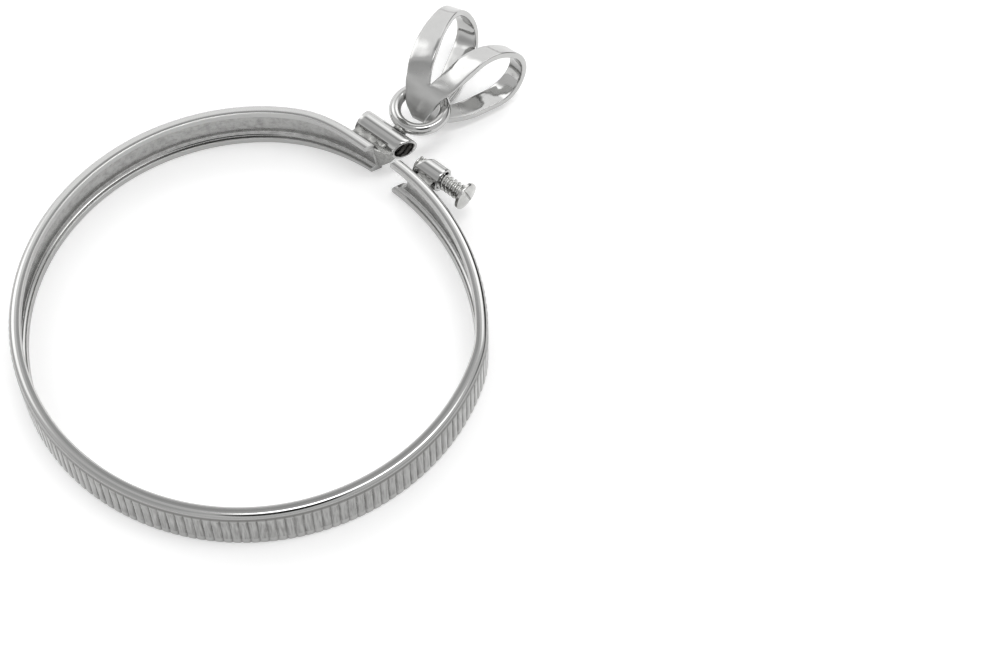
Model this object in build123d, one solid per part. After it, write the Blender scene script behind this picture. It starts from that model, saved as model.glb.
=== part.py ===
from build123d import *
import math
import os

# Coin bezel, in millimetres. The bezel lies flat on its lower lip at z = 0.
# The origin is the centre of the band's main circle, and the closing screw runs along X.

# Band: a strip bent into a ring, with a channel inside that grips the coin's rim
outer_radius = 21.2
band_height = 4.66
lip_width = 1.16
lip_thickness = 0.70
channel_depth = 0.62
channel_corner = 0.40
shoulder_radius = 0.65
foot_radius = 0.12
lip_edge_radius = 0.12

# The band is sprung open: both ends bend off the main circle
left_bend_start = 130.0
left_bend_radius = 17.4
right_bend_start = 24.2
right_bend_radius = 9.1
right_bend_angle = 13.35
right_end_radius = 23.9
left_end_x = -2.85
right_end_x = 0.15

# Cutting tools and overlong blanks reach this far past what they cut
cutter_reach = 4.0
# Each end arc of the band is made this many degrees too long, then cut to its end
end_margin = 4.0

# Reeding: upright grooves cut into the outside of the band
reed_pitch = 0.78
reed_width = 0.34
reed_depth = 0.17
reed_foot = 0.16
reed_head = 1.05

# Closing tubes, soldered to the outside of the band. They line up once the band is squeezed shut
short_tube_inset = 0.05
long_tube_outset = 0.30
tube_y = outer_radius - short_tube_inset
long_tube_y = outer_radius + long_tube_outset
tube_z = 3.0
tube_radius = 1.17
tube_bore_radius = 0.88
tube_cut_angle = 25.0
long_tube_rear_x = -5.9
long_tube_mouth_x = -0.85
short_tube_mouth_x = 1.75
short_tube_face_x = 4.06
notch_radius = 1.45
notch_reach = 1.03
solder_height = 1.7
solder_inset = 0.3

# Screw
screw_clearance = 0.08
thread_pitch = 0.45
thread_depth = 0.20
screw_tip_x = 1.0
screw_seat_x = 6.5
head_radius = 1.34
head_rim = 0.32
head_dome = 0.26
slot_width = 0.36
slot_depth = 0.32
slot_turn = 18.0

# Jump ring
jump_ring_x = -2.5
jump_ring_outset = 4.1
jump_ring_y = long_tube_y + jump_ring_outset
jump_ring_z = 3.5
jump_ring_radius = 2.30
jump_wire_radius = 0.57

# Bail: two loops of one flat strip, bent round and joined at the tip that hangs on the jump ring
bail_tip_inset = 0.30
bail_tip_x = -2.20
bail_tip_y = jump_ring_y - bail_tip_inset
bail_tip_z = 2.48
strip_thickness = 0.56
strip_width = 2.4
strip_tip_width = 1.5
strip_crown_width = 1.5
ear_length = 10.2
ear_reach = 1.2
ear_tip_rounding = 0.45
web_length = 3.9
# The share of the room between two bends of an ear that their roundings take up
bend_share = 0.48

# Corners of each ear's centreline, from the tip over the front and back: along and across, as
# shares of the ear's length. The two ears were bent by hand and differ a little
left_ear_shares = [(0.00, 0.00), (0.44, 0.15), (0.80, -0.05), (1.065, -0.45), (0.83, -0.89), (0.17, -0.42)]
right_ear_shares = [(0.00, 0.00), (0.22, 0.10), (0.86, 0.095), (1.075, -0.335), (0.725, -0.59), (0.22, -0.305)]

# How each ear lies, in degrees: turn from the X axis, climb, lean to its left and skew of its bends
left_ear_angles = (121.7, 38.0, 20.2, 10.6)
right_ear_angles = (74.5, 27.4, 8.3, -14.8)


def on_circle(centre, radius, angle):
    """The point at an angle in degrees on a circle in the XY plane."""
    turn = math.radians(angle)
    return (centre[0] + radius * math.cos(turn), centre[1] + radius * math.sin(turn))


def angle_at_x(centre, radius, x):
    """The angle in degrees at which the upper half of a circle crosses x."""
    return math.degrees(math.acos((x - centre[0]) / radius))


# The band's path: tangent arcs, each a centre, an outer radius, a start angle and an end angle
main_centre = (0.0, 0.0)
left_centre = on_circle(main_centre, outer_radius - left_bend_radius, left_bend_start)
right_centre = on_circle(main_centre, outer_radius - right_bend_radius, right_bend_start)
right_turn = right_bend_start + right_bend_angle
end_centre = on_circle(right_centre, right_bend_radius - right_end_radius, right_turn)
left_stop = angle_at_x(left_centre, left_bend_radius, left_end_x)
right_stop = angle_at_x(end_centre, right_end_radius, right_end_x)
band_path = [
    (left_centre, left_bend_radius, left_stop - end_margin, left_bend_start),
    (main_centre, outer_radius, left_bend_start, 360.0 + right_bend_start),
    (right_centre, right_bend_radius, right_bend_start, right_turn),
    (end_centre, right_end_radius, right_turn, right_stop + end_margin),
]


def band_section(radius):
    """The channel section on the XZ plane, with its outer face at a radius from the Z axis."""
    lip = radius - lip_width
    floor = lip + channel_depth
    top = band_height
    corners = [
        (radius, 0.0, foot_radius),
        (radius, top, shoulder_radius),
        (lip, top, lip_edge_radius),
        (lip, top - lip_thickness, lip_edge_radius),
        (floor, top - lip_thickness, channel_corner),
        (floor, lip_thickness, channel_corner),
        (lip, lip_thickness, lip_edge_radius),
        (lip, 0.0, lip_edge_radius),
    ]
    points = [(r, z) for r, z, _ in corners]
    radii = [c for _, _, c in corners]
    outline = FilletPolyline(*points, radius=radii, close=True)
    return Plane.XZ * make_face(outline)


def band_arc(centre, radius, start, stop):
    """One arc of the band, swept about its own centre."""
    swept = revolve(band_section(radius), axis=Axis.Z, revolution_arc=stop - start)
    return Pos(centre[0], centre[1], 0) * Rot(0, 0, start) * swept


def reed_groove(centre, radius, angle):
    """One upright groove in the outer face."""
    half = reed_width / 2
    outline = make_face(Polyline((reed_depth, -half), (-reed_depth, 0), (reed_depth, half), close=True))
    tall = band_height - reed_head - reed_foot
    x, y = on_circle(centre, radius, angle)
    return Pos(x, y, reed_foot) * Rot(0, 0, angle) * extrude(outline, tall)


def reed_grooves():
    """Evenly spaced grooves along the whole path."""
    grooves = []
    leftover = 0.0
    for centre, radius, start, stop in band_path:
        step = math.degrees(reed_pitch / radius)
        angle = start + math.degrees(leftover / radius)
        while angle < stop:
            grooves.append(reed_groove(centre, radius, angle))
            angle += step
        leftover = math.radians(angle - stop) * radius
    return grooves


def along_x(x0, x1, y, radius):
    """A round bar along X at a tube's height, from x0 to x1."""
    bar = Cylinder(radius, x1 - x0, align=(Align.CENTER, Align.CENTER, Align.MIN))
    return Pos(x0, y, tube_z) * Rot(0, 90, 0) * bar


def beyond_cut(x, y, side):
    """A block that covers one side (1 or -1) of a slanted saw cut through a tube's axis at x."""
    size = tube_radius + cutter_reach
    block = Box(size, 2 * size, 2 * size, align=(Align.MIN, Align.CENTER, Align.CENTER))
    turn = -tube_cut_angle if side > 0 else 180 - tube_cut_angle
    return Pos(x, y, tube_z) * Rot(0, 0, turn) * block


def ridged_bar(x0, x1, y, crest, root):
    """A bar along X with ring ridges, one to a thread pitch."""
    points = [(x0, 0.0), (x0, root)]
    count = int((x1 - x0) / thread_pitch)
    margin = ((x1 - x0) - count * thread_pitch) / 2
    for turn in range(count):
        start = x0 + margin + turn * thread_pitch
        points.append((start, root))
        points.append((start + thread_pitch / 2, crest))
    points.append((x0 + margin + count * thread_pitch, root))
    points += [(x1, root), (x1, 0.0)]
    unique = [point for index, point in enumerate(points) if index == 0 or point != points[index - 1]]
    outline = make_face(Polyline(*unique, close=True))
    return Pos(0, y, tube_z) * revolve(outline, axis=Axis.X)


def solder_saddle(x0, x1, mouth_x, y, centre, radius):
    """Solder between a tube and the wall behind it, kept out of the channel.
    It runs from x0 to x1 at the wall and to mouth_x at the tube."""
    reach = 2 * tube_radius + lip_width
    outline = make_face(Polyline((x0, -reach), (x1, -reach), (x1, -tube_radius), (mouth_x, 0), (x0, 0), close=True))
    block = Pos(0, y, tube_z - solder_height / 2) * extrude(outline, solder_height)
    wall = lip_width - channel_depth
    keep_out = Pos(centre[0], centre[1], band_height / 2) * Cylinder(radius - wall / 2, 2 * cutter_reach)
    return block - keep_out


def make_frame():
    """Band, tubes, jump ring and solder: one soldered piece of silver."""
    frame = band_arc(*band_path[0])
    for arc in band_path[1:]:
        frame += band_arc(*arc)
    frame -= reed_grooves()
    middle = band_height / 2
    frame -= Pos(left_end_x, outer_radius, middle) * Box(
        right_end_x - left_end_x, 2 * cutter_reach, 2 * cutter_reach, align=(Align.MIN, Align.CENTER, Align.CENTER))
    notch_x = right_end_x + notch_reach - notch_radius
    frame -= Pos(notch_x, outer_radius, middle) * Rot(90, 0, 0) * Cylinder(notch_radius, 2 * cutter_reach)
    long_tube = along_x(long_tube_rear_x, long_tube_mouth_x + tube_radius, long_tube_y, tube_radius)
    long_tube -= beyond_cut(long_tube_mouth_x, long_tube_y, 1)
    short_tube = along_x(short_tube_mouth_x - tube_radius, short_tube_face_x, tube_y, tube_radius)
    short_tube -= beyond_cut(short_tube_mouth_x, tube_y, -1)
    long_saddle = solder_saddle(
        long_tube_rear_x + solder_inset, left_end_x, long_tube_mouth_x, long_tube_y,
        left_centre, left_bend_radius)
    short_saddle = solder_saddle(
        short_tube_mouth_x + solder_inset, short_tube_face_x - solder_inset,
        short_tube_face_x - solder_inset, tube_y, end_centre, right_end_radius)
    ring = Pos(jump_ring_x, jump_ring_y, jump_ring_z) * Torus(jump_ring_radius, jump_wire_radius)
    lug_length = jump_ring_y - jump_ring_radius - long_tube_y
    lug = Pos(jump_ring_x, long_tube_y, (tube_z + jump_ring_z) / 2) * Rot(-90, 0, 0) * Cylinder(
        jump_wire_radius, lug_length, align=(Align.CENTER, Align.CENTER, Align.MIN))
    frame += [long_tube, short_tube, long_saddle, short_saddle, ring, lug]
    bore_root = tube_bore_radius + thread_depth
    frame -= ridged_bar(
        long_tube_rear_x - thread_pitch, long_tube_mouth_x + tube_radius, long_tube_y, bore_root, tube_bore_radius)
    frame -= along_x(short_tube_mouth_x - tube_radius, short_tube_face_x + tube_radius, tube_y, tube_bore_radius)
    return frame


def make_screw():
    """The closing screw: a threaded shaft and a domed head with a slot."""
    crest = tube_bore_radius - screw_clearance
    shaft = ridged_bar(screw_tip_x, screw_seat_x, tube_y, crest, crest - thread_depth)
    rim_x = screw_seat_x + head_rim
    top_x = rim_x + head_dome
    dome_radius = (head_radius ** 2 + head_dome ** 2) / (2 * head_dome)
    dome = RadiusArc((rim_x, head_radius), (top_x, 0.0), dome_radius)
    sides = Polyline((top_x, 0.0), (screw_seat_x, 0.0), (screw_seat_x, head_radius), (rim_x, head_radius))
    head = Pos(0, tube_y, tube_z) * revolve(make_face(dome + sides), axis=Axis.X)
    slot = Box(slot_depth, slot_width, 2 * cutter_reach, align=(Align.MAX, Align.CENTER, Align.CENTER))
    head -= Pos(top_x, tube_y, tube_z) * Rot(slot_turn, 0, 0) * slot
    return shaft + head


def bend_radii(corners):
    """The widest roundings that a closed row of corners has room for."""
    radii = []
    for index, corner in enumerate(corners):
        before = Vector(*corners[index - 1]) - Vector(*corner)
        after = Vector(*corners[(index + 1) % len(corners)]) - Vector(*corner)
        room = bend_share * min(before.length, after.length)
        radii.append(room * math.tan(math.radians(before.get_angle(after)) / 2))
    radii[0] = min(radii[0], ear_tip_rounding)
    return radii


def ear_place(angles):
    """Where an ear that is drawn from the tip along X, with its front towards Z, goes."""
    turn, climb, lean, _ = angles
    return Pos(bail_tip_x, bail_tip_y, bail_tip_z) * Rot(0, 0, turn) * Rot(0, -climb, 0) * Rot(-lean, 0, 0)


def make_ear(shares, angles):
    """One loop of the bail."""
    corners = [(along * ear_length, across * ear_length) for along, across in shares]
    loop = make_face(FilletPolyline(*corners, radius=bend_radii(corners), close=True))
    strip = offset(loop, strip_thickness / 2) - offset(loop, -strip_thickness / 2)
    skew = math.radians(angles[-1])
    sideways = (math.sin(skew), math.cos(skew))
    ribbon = extrude(Plane.XZ * strip, amount=strip_width, dir=(*sideways, 0), both=True)
    plan = [
        (-ear_reach, strip_tip_width / 2),
        (0, strip_tip_width / 2),
        (ear_length / 3, strip_width / 2),
        (2 * ear_length / 3, strip_width / 2),
        (ear_length + ear_reach, strip_crown_width / 2),
    ]
    plan += [(x, -half) for x, half in reversed(plan)]
    skewed = [(x + half * sideways[0], half * sideways[1]) for x, half in plan]
    trim = extrude(make_face(Polyline(*skewed, close=True)), amount=ear_length, both=True)
    return ear_place(angles) * (ribbon & trim)


def make_web():
    """The flat sheet that joins the fronts of the two ears above the tip."""
    corners = [(bail_tip_x, bail_tip_y, bail_tip_z)]
    for shares, angles in ((left_ear_shares, left_ear_angles), (right_ear_shares, right_ear_angles)):
        along, across = shares[1]
        reach = web_length / math.hypot(along, across)
        corners.append((ear_place(angles) * Pos(along * reach, 0, across * reach)).position)
    return extrude(make_face(Polyline(*corners, close=True)), amount=strip_thickness / 2, both=True)


def make_bail():
    """Both ears and the web between them."""
    return make_ear(left_ear_shares, left_ear_angles) + make_ear(right_ear_shares, right_ear_angles) + make_web()


os.makedirs("parts", exist_ok=True)
frame = make_frame()
screw = make_screw()
bail = make_bail()
export_step(frame, "parts/bezel_frame.step")
export_step(screw, "parts/screw.step")
export_step(bail, "parts/bail.step")
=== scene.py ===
import math

import bmesh
import bpy
from mathutils import Matrix, Vector


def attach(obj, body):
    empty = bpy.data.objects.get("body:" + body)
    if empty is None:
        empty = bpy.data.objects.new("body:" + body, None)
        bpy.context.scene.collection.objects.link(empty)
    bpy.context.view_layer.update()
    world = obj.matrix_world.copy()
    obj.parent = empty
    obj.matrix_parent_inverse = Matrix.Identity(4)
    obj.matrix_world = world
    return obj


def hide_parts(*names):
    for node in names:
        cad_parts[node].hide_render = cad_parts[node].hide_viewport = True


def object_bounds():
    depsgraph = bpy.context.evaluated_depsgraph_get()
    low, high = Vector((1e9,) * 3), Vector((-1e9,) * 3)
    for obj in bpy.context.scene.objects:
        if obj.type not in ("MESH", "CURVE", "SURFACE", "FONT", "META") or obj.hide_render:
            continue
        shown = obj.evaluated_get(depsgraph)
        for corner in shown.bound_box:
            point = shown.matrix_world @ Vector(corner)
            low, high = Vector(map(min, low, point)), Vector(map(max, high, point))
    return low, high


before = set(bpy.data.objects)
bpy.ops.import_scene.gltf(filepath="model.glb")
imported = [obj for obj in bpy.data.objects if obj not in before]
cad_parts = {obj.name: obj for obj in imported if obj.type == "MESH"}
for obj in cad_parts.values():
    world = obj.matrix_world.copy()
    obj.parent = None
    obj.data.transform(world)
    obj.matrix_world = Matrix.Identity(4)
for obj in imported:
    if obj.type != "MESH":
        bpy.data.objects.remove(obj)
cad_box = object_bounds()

# Camera
# A long lens looks down at the bezel where it lies. The bezel is turned on the table, so that
# its closing screw runs along X.
mm = 0.001
sensor_width = 36.0
focal_length_per_width = 2.5
view_climb = math.radians(59.37)
view_turn = math.radians(40.0)
view_roll = math.radians(-0.43)
view_distance = 222.4 * mm
view_right = 21.76 * mm
nearest_seen = 10 * mm
exposure = 0.36
camera_data = bpy.data.cameras.new("camera")
camera_data.sensor_width = sensor_width
camera_data.lens = sensor_width * focal_length_per_width
camera_data.clip_start = nearest_seen
camera = bpy.data.objects.new("camera", camera_data)
camera.matrix_world = (
    Matrix.Rotation(view_turn, 4, "Z")
    @ Matrix.Rotation(math.pi / 2 - view_climb, 4, "X")
    @ Matrix.Rotation(view_roll, 4, "Z")
    @ Matrix.Translation((view_right, 0, view_distance))
)
bpy.context.scene.collection.objects.link(camera)
bpy.context.scene.camera = camera
bpy.context.scene.view_settings.view_transform = "Standard"
bpy.context.scene.view_settings.exposure = exposure

# Table
# A photographer's light table of matt opal acrylic, lit from below, so that shadows stay faint.
# It is wide enough to lie behind the bezel from every side.
table_half = 1500 * mm
table_drop = 0.01 * mm
table_mottle = 1.2 * mm
table_roughness = 0.6
table_glow = 0.22
white = (1.0, 1.0, 1.0, 1.0)
# A Mix node takes its colours at places 6 and 7 and gives the result at 2
rgba = {"data_type": "RGBA"}


def colour(code):
    """An sRGB hex value as linear red, green, blue and alpha."""
    shares = [int(code[place:place + 2], 16) / 255 for place in (1, 3, 5)]
    return tuple(s / 12.92 if s <= 0.04045 else ((s + 0.055) / 1.055) ** 2.4 for s in shares) + (1.0,)


def fill(tree, node, *values, **named):
    """Sets or links inputs of a node in order, by name with underscores for spaces, or by place, as _6."""
    for key, value in [*enumerate(values), *named.items()]:
        if key in named:
            key = int(key[1:]) if key[1:].isdigit() else key.replace("_", " ")
        if isinstance(value, bpy.types.NodeSocket):
            tree.links.new(value, node.inputs[key])
        else:
            node.inputs[key].default_value = value


def add(tree, kind, *values, settings=None, **named):
    """Adds a node, fills its inputs and returns its outputs. Its kind leaves out ShaderNode, and its
    operation follows or, for a Math node, stands alone."""
    if kind.isupper():
        kind = "Math " + kind
    kind, _, operation = kind.partition(" ")
    node = tree.nodes.new(kind if "Node" in kind else "ShaderNode" + kind)
    if operation:
        node.operation = operation
    for name, value in (settings or {}).items():
        setattr(node, name, value)
    fill(tree, node, *values, **named)
    return node.outputs


def new_material(name):
    """An empty material, its tree and its shader."""
    material = bpy.data.materials.new(name)
    material.use_nodes = True
    tree = material.node_tree
    tree.nodes.clear()
    surface = add(tree, "BsdfPrincipled")["BSDF"]
    add(tree, "OutputMaterial", surface)
    return material, tree, surface.node


def new_object(name, data):
    """An object at the origin that shows a mesh or a curve."""
    piece = bpy.data.objects.new(name, data)
    bpy.context.scene.collection.objects.link(piece)
    return piece


def mesh_object(name, points, faces):
    """An object at the origin with a mesh of these points and faces."""
    mesh = bpy.data.meshes.new(name)
    mesh.from_pydata([tuple(point) for point in points], [], faces)
    return new_object(name, mesh)


table = mesh_object("table", [(x * table_half, y * table_half, -table_drop)
                              for x, y in ((-1, -1), (1, -1), (1, 1), (-1, 1))], [(0, 1, 2, 3)])
# Opal acrylic is matt and near white, with a mottle that hardly shows
acrylic, tree, shader = new_material("opal acrylic light table")
place = add(tree, "TexCoord")["Object"]
mottle = add(tree, "TexNoise", Vector=place, Scale=1 / table_mottle, Detail=2.0)["Fac"]
tint = add(tree, "Mix", mottle, _6=colour("#f4f4f4"), _7=colour("#f8f8f8"), settings=rgba)[2]
fill(tree, shader, Base_Color=tint, Roughness=table_roughness, Emission_Color=white,
     Emission_Strength=table_glow)
table.data.materials.append(acrylic)

# Light
# A grey room with a white wall behind the bezel, two windows and a row of soft boxes overhead.
# The dark things in it leave the black lines that polished silver shows.
room_level = 0.60
behind = 141.0
overhead = 58.0
# Each light has a level, a compass turn and a climb in degrees, how far it spreads, how soft its
# edge is and, where it is wider than high, how many times
lights = {
    "white wall": (0.42, behind, 27, 0.80, 0.12, 1.9),
    "left window": (0.75, behind + 43, 42, 0.27, 0.08),
    "right window": (0.75, behind - 40, 42, 0.27, 0.08),
    "pale wall in front": (0.12, behind + 150, 12, 1.00, 0.35, 1.6),
} | {"soft box at a climb of %d" % climb: (level, overhead, climb, 0.12, 0.04) for climb, level in (
    (90, 3.0), (81, 2.7), (72, 2.3), (63, 1.8))}
# A dark thing has the share of the light that it takes away in place of a level
dark_things = {
    "ceiling beam": (0.39, behind, 62, 0.17, 0.04),
    "camera and its hood": (0.97, behind - 180, 63, 0.27, 0.05),
    "doorway": (0.95, 87, 13, 0.30, 0.08),
    "cupboard": (0.62, 60, 10, 0.30, 0.12),
    "dark curtain": (0.30, 254, 48, 0.36, 0.14),
}
eased = {"interpolation_type": "SMOOTHSTEP"}
world = bpy.data.worlds.new("studio")
bpy.context.scene.world = world
world.use_nodes = True
tree = world.node_tree
tree.nodes.clear()
direction = add(tree, "TexCoord")["Generated"]


def cover(turn_degrees, climb_degrees, spread, blur, width_per_height=1.0):
    """How far a thing covers each direction, from 0 to 1."""
    turn, climb = math.radians(turn_degrees), math.radians(climb_degrees)
    aim = (math.cos(climb) * math.cos(turn), math.cos(climb) * math.sin(turn), math.sin(climb))
    away = add(tree, "VectorMath SUBTRACT", direction, aim)[0]
    sized = add(tree, "VectorMath MULTIPLY", away, (1.0, 1.0, width_per_height))[0]
    reach = add(tree, "VectorMath LENGTH", sized)["Value"]
    return add(tree, "MapRange", reach, spread - blur, spread + blur, 1.0, 0.0, settings=eased)[0]


level = room_level
for brightness, *form in lights.values():
    gain = add(tree, "MULTIPLY", cover(*form), brightness)[0]
    level = add(tree, "ADD", level, gain)[0]
for share, *form in dark_things.values():
    loss = add(tree, "MULTIPLY", cover(*form), share)[0]
    level = add(tree, "MULTIPLY", level, add(tree, "SUBTRACT", 1.0, loss)[0])[0]
room = add(tree, "Background", white, level)[0]
add(tree, "OutputWorld", room)

# Band
# The band is a strip of sterling silver, rolled with a channel that grips the coin's rim, bent
# into a split ring and reeded on its outside with a toothed wheel. It is sprung open.
outer_radius = 21.2 * mm
band_height = 4.66 * mm
lip_width = 1.16 * mm
lip_thickness = 0.70 * mm
channel_depth = 0.62 * mm
channel_corner = 0.40 * mm
shoulder_radius = 0.62 * mm
edge_radius = 0.12 * mm
lip_crown_inset = 0.82 * mm
lip_crown_radius = 1.60 * mm
lip_outer_drop = 0.05 * mm
lip_inner_drop = 0.02 * mm
crease_depth = 0.06 * mm
crease_drop = 0.50 * mm
crease_half_width = 0.20 * mm
left_bend_start = 130.0
left_bend_radius = 17.4 * mm
right_bend_start = 24.2
right_bend_radius = 9.1 * mm
right_bend_angle = 13.35
right_end_radius = 23.9 * mm
left_end_x = -2.85 * mm
right_end_x = 0.15 * mm
reed_pitch = 0.78 * mm
reed_half_width = 0.17 * mm
reed_depth = 0.075 * mm
reed_crown = 0.012 * mm
reed_top = band_height - 0.68 * mm
reed_run_out = 0.15 * mm
points_per_reed = 8
outside_depth = 0.25 * mm
notch_radius = 1.50 * mm
notch_half_height = 1.61 * mm
notch_reach = 1.25 * mm
end_slant = math.tan(math.radians(22.0))
end_slant_reach = 1.4 * mm
lean_inward = 0.75 * mm
lean_reach = 8.0 * mm
guard = 0.03 * mm


def on_circle(centre, radius, degrees):
    """The point at an angle on a circle that lies flat."""
    turn = math.radians(degrees)
    return Vector((centre[0] + radius * math.cos(turn), centre[1] + radius * math.sin(turn), 0.0))


def band_arcs():
    """The band's path as tangent arcs: centre, radius, start angle and end angle."""
    left_centre = on_circle((0, 0), outer_radius - left_bend_radius, left_bend_start)
    right_centre = on_circle((0, 0), outer_radius - right_bend_radius, right_bend_start)
    right_turn = right_bend_start + right_bend_angle
    end_centre = on_circle(right_centre, right_bend_radius - right_end_radius, right_turn)
    left_stop = math.degrees(math.acos((left_end_x - left_centre[0]) / left_bend_radius))
    right_stop = math.degrees(math.acos((right_end_x - end_centre[0]) / right_end_radius))
    return [
        (left_centre, left_bend_radius, left_stop, left_bend_start),
        (Vector((0, 0, 0)), outer_radius, left_bend_start, 360.0 + right_bend_start),
        (right_centre, right_bend_radius, right_bend_start, right_turn),
        (end_centre, right_end_radius, right_turn, right_stop),
    ]


def band_path():
    """Points along the path, so many to a reed."""
    count = round(band_length / reed_pitch) * points_per_reed
    points = []
    for index in range(count + 1):
        along = band_length * index / count
        part = 0
        while part < len(arcs) - 1 and along > arc_lengths[part]:
            along -= arc_lengths[part]
            part += 1
        centre, radius, start, _ = arcs[part]
        points.append(on_circle(centre, radius, start + math.degrees(along / radius)))
    return points


def rounding(corner, one, other, radius, steps):
    """Points round a corner, from the side of one neighbour to the other's."""
    before, after = (one - corner).normalized(), (other - corner).normalized()
    half = before.angle(after) / 2
    start = corner + before * (radius / math.tan(half))
    centre = corner + (before + after).normalized() * (radius / math.sin(half))
    turn = math.copysign(math.pi - 2 * half, before.angle_signed(after))
    return [centre + Matrix.Rotation(turn * step / steps, 2) @ (start - centre) for step in range(steps + 1)]


def section_outline():
    """The channel section, from the foot of the outer face at (0, 0) to the lips at -lip_width."""
    channel_floor = channel_depth - lip_width
    corners = [Vector(corner) for corner in (
        (0, 0), (0, lip_outer_drop - band_height), (-lip_crown_inset, -band_height),
        (-lip_width, lip_inner_drop - band_height), (-lip_width, lip_thickness - band_height),
        (channel_floor, lip_thickness - band_height), (channel_floor, -lip_thickness),
        (-lip_width, -lip_thickness), (-lip_width, 0))]
    edge, channel = (edge_radius, 2), (channel_corner, 5)
    roundings = [edge, (shoulder_radius, 9), (lip_crown_radius, 5), edge, edge, channel, channel, edge, edge]
    outline = []
    for index, (corner, (radius, steps)) in enumerate(zip(corners, roundings)):
        one, other = corners[index - 1], corners[(index + 1) % len(corners)]
        arc = rounding(corner, one, other, radius, steps)
        # A guard point close beside each rounding keeps the flat faces flat when they are shaded
        before, after = [(end - corner).normalized() * guard for end in (one, other)]
        outline += [arc[0] + before, *arc, arc[-1] + after]
    # The outer face needs points of its own where the reeds and their tops are pressed in
    levels = [0.5 * mm, 1.6 * mm, 2.8 * mm, reed_top - 0.05 * mm]
    levels += [reed_top + 0.2 * reed_run_out, reed_top + 0.4 * reed_run_out]
    foot = next(place for place, point in enumerate(outline) if point[1] < -shoulder_radius)
    outline[foot:foot] = [Vector((0.0, -level)) for level in levels]
    for point in outline:
        off_crease = abs(-point[1] - band_height + crease_drop)
        if point[0] > -shoulder_radius / 2 and off_crease < crease_half_width:
            point[0] -= crease_depth * (1 - (off_crease / crease_half_width) ** 2)
    return outline


def curve_object(name, points, closed):
    """A curve of straight runs through points that lie flat."""
    data = bpy.data.curves.new(name, "CURVE")
    data.dimensions = "3D"
    data.twist_mode = "Z_UP"
    spline = data.splines.new("POLY")
    spline.points.add(len(points) - 1)
    for knot, point in zip(spline.points, points):
        knot.co = (point[0], point[1], 0.0, 1.0)
    spline.use_cyclic_u = closed
    return new_object(name, data)


def grown(source, name, build, values):
    """Runs a Geometry Nodes tree on an object and returns the result as a plain mesh object. The
    tree has a named input for each value, and build adds the nodes that shape the piece."""
    tree = bpy.data.node_groups.new(name, "GeometryNodeTree")
    tree.interface.new_socket("Geometry", in_out="INPUT", socket_type="NodeSocketGeometry")
    kinds = {float: "Float", tuple: "Vector", bpy.types.Object: "Object", bpy.types.Material: "Material"}
    for label, value in values.items():
        tree.interface.new_socket(label, in_out="INPUT", socket_type="NodeSocket" + kinds[type(value)])
    tree.interface.new_socket("Geometry", in_out="OUTPUT", socket_type="NodeSocketGeometry")
    given = add(tree, "NodeGroupInput")
    whole = add(tree, "GeometryNodeRealizeInstances", build(tree, given))[0]
    finished = add(tree, "GeometryNodeSetMaterial", whole, Material=given["Material"])[0]
    add(tree, "NodeGroupOutput", finished)
    modifier = source.modifiers.new("grow", "NODES")
    modifier.node_group = tree
    for socket in tree.interface.items_tree:
        if socket.in_out == "INPUT" and socket.name in values:
            modifier[socket.identifier] = values[socket.name]
    graph = bpy.context.evaluated_depsgraph_get()
    mesh = bpy.data.meshes.new_from_object(source.evaluated_get(graph))
    mesh.name = name
    for slot in reversed(range(len(mesh.materials))):
        if mesh.materials[slot] is None:
            mesh.materials.pop(index=slot)
    source.modifiers.remove(modifier)
    bpy.data.objects.remove(source)
    return new_object(name, mesh)


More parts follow.
